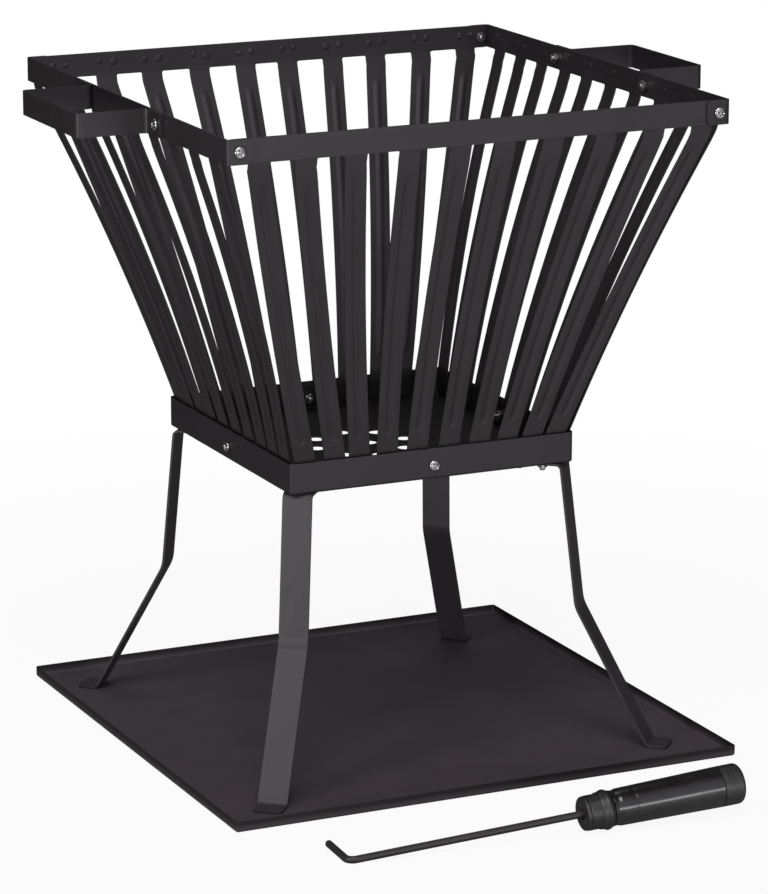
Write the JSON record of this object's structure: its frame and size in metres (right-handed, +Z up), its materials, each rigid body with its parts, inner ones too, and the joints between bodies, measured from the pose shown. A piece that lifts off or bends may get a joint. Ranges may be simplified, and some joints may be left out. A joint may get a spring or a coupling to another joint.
{
  "type": "fire basket with ash tray and poker",
  "caption": "Square slatted steel fire basket that flares up to a rim band with side handles, on splayed strip legs over a shallow ash tray, with a hooked poker beside it.",
  "frame": {"origin": "centre of the ash tray's underside, on the ground", "axes": "+Z up, -Y towards the front (the side with the poker), +X towards the right handle as seen from the front"},
  "size_m": [0.565, 0.5909, 0.5546],
  "materials": {
    "black_paint": "satin black heat-resistant paint",
    "tray_paint": "satin black paint on sheet steel",
    "leg_paint": "satin dark grey paint on steel strip",
    "zinc": "bright zinc plate",
    "black_plastic": "glossy black moulding"
  },
  "bodies": {
    "tray": {"ash_tray": "tray_paint"},
    "basket": {"base_pan": "black_paint", "panel_front": "black_paint", "panel_right": "black_paint", "panel_back": "black_paint", "panel_left": "black_paint", "handle_left": "black_paint", "handle_right": "black_paint", "leg_front_left": "leg_paint", "leg_front_right": "leg_paint", "leg_back_right": "leg_paint", "leg_back_left": "leg_paint", "corner_front_left_screw": "zinc", "corner_front_left_nut": "zinc", "corner_front_right_screw": "zinc", "corner_front_right_nut": "zinc", "corner_back_left_screw": "zinc", "corner_back_left_nut": "zinc", "corner_back_right_screw": "zinc", "corner_back_right_nut": "zinc", "handle_left_front_screw": "zinc", "handle_left_front_nut": "zinc", "handle_left_back_screw": "zinc", "handle_left_back_nut": "zinc", "handle_right_front_screw": "zinc", "handle_right_front_nut": "zinc", "handle_right_back_screw": "zinc", "handle_right_back_nut": "zinc", "pan_front_screw": "zinc", "pan_front_nut": "zinc", "pan_right_screw": "zinc", "pan_right_nut": "zinc", "pan_back_screw": "zinc", "pan_back_nut": "zinc", "pan_left_screw": "zinc", "pan_left_nut": "zinc", "leg_front_left_outer_screw": "zinc", "leg_front_left_outer_nut": "zinc", "leg_front_left_inner_screw": "zinc", "leg_front_left_inner_nut": "zinc", "leg_front_right_outer_screw": "zinc", "leg_front_right_outer_nut": "zinc", "leg_front_right_inner_screw": "zinc", "leg_front_right_inner_nut": "zinc", "leg_back_right_outer_screw": "zinc", "leg_back_right_outer_nut": "zinc", "leg_back_right_inner_screw": "zinc", "leg_back_right_inner_nut": "zinc", "leg_back_left_outer_screw": "zinc", "leg_back_left_outer_nut": "zinc", "leg_back_left_inner_screw": "zinc", "leg_back_left_inner_nut": "zinc"},
    "poker": {"poker_rod": "black_paint", "poker_collar": "black_plastic", "poker_grip": "black_plastic", "poker_end_cap": "black_plastic"}
  },
  "joints": [
    {"name": "basket_lift", "type": "slide", "parent": "tray", "child": "basket", "axis": [0, 0, 1], "range_m": [0, 0.25]},
    {"name": "poker_lift", "type": "slide", "parent": "tray", "child": "poker", "axis": [0, 0, 1], "range_m": [0, 0.6]}
  ]
}
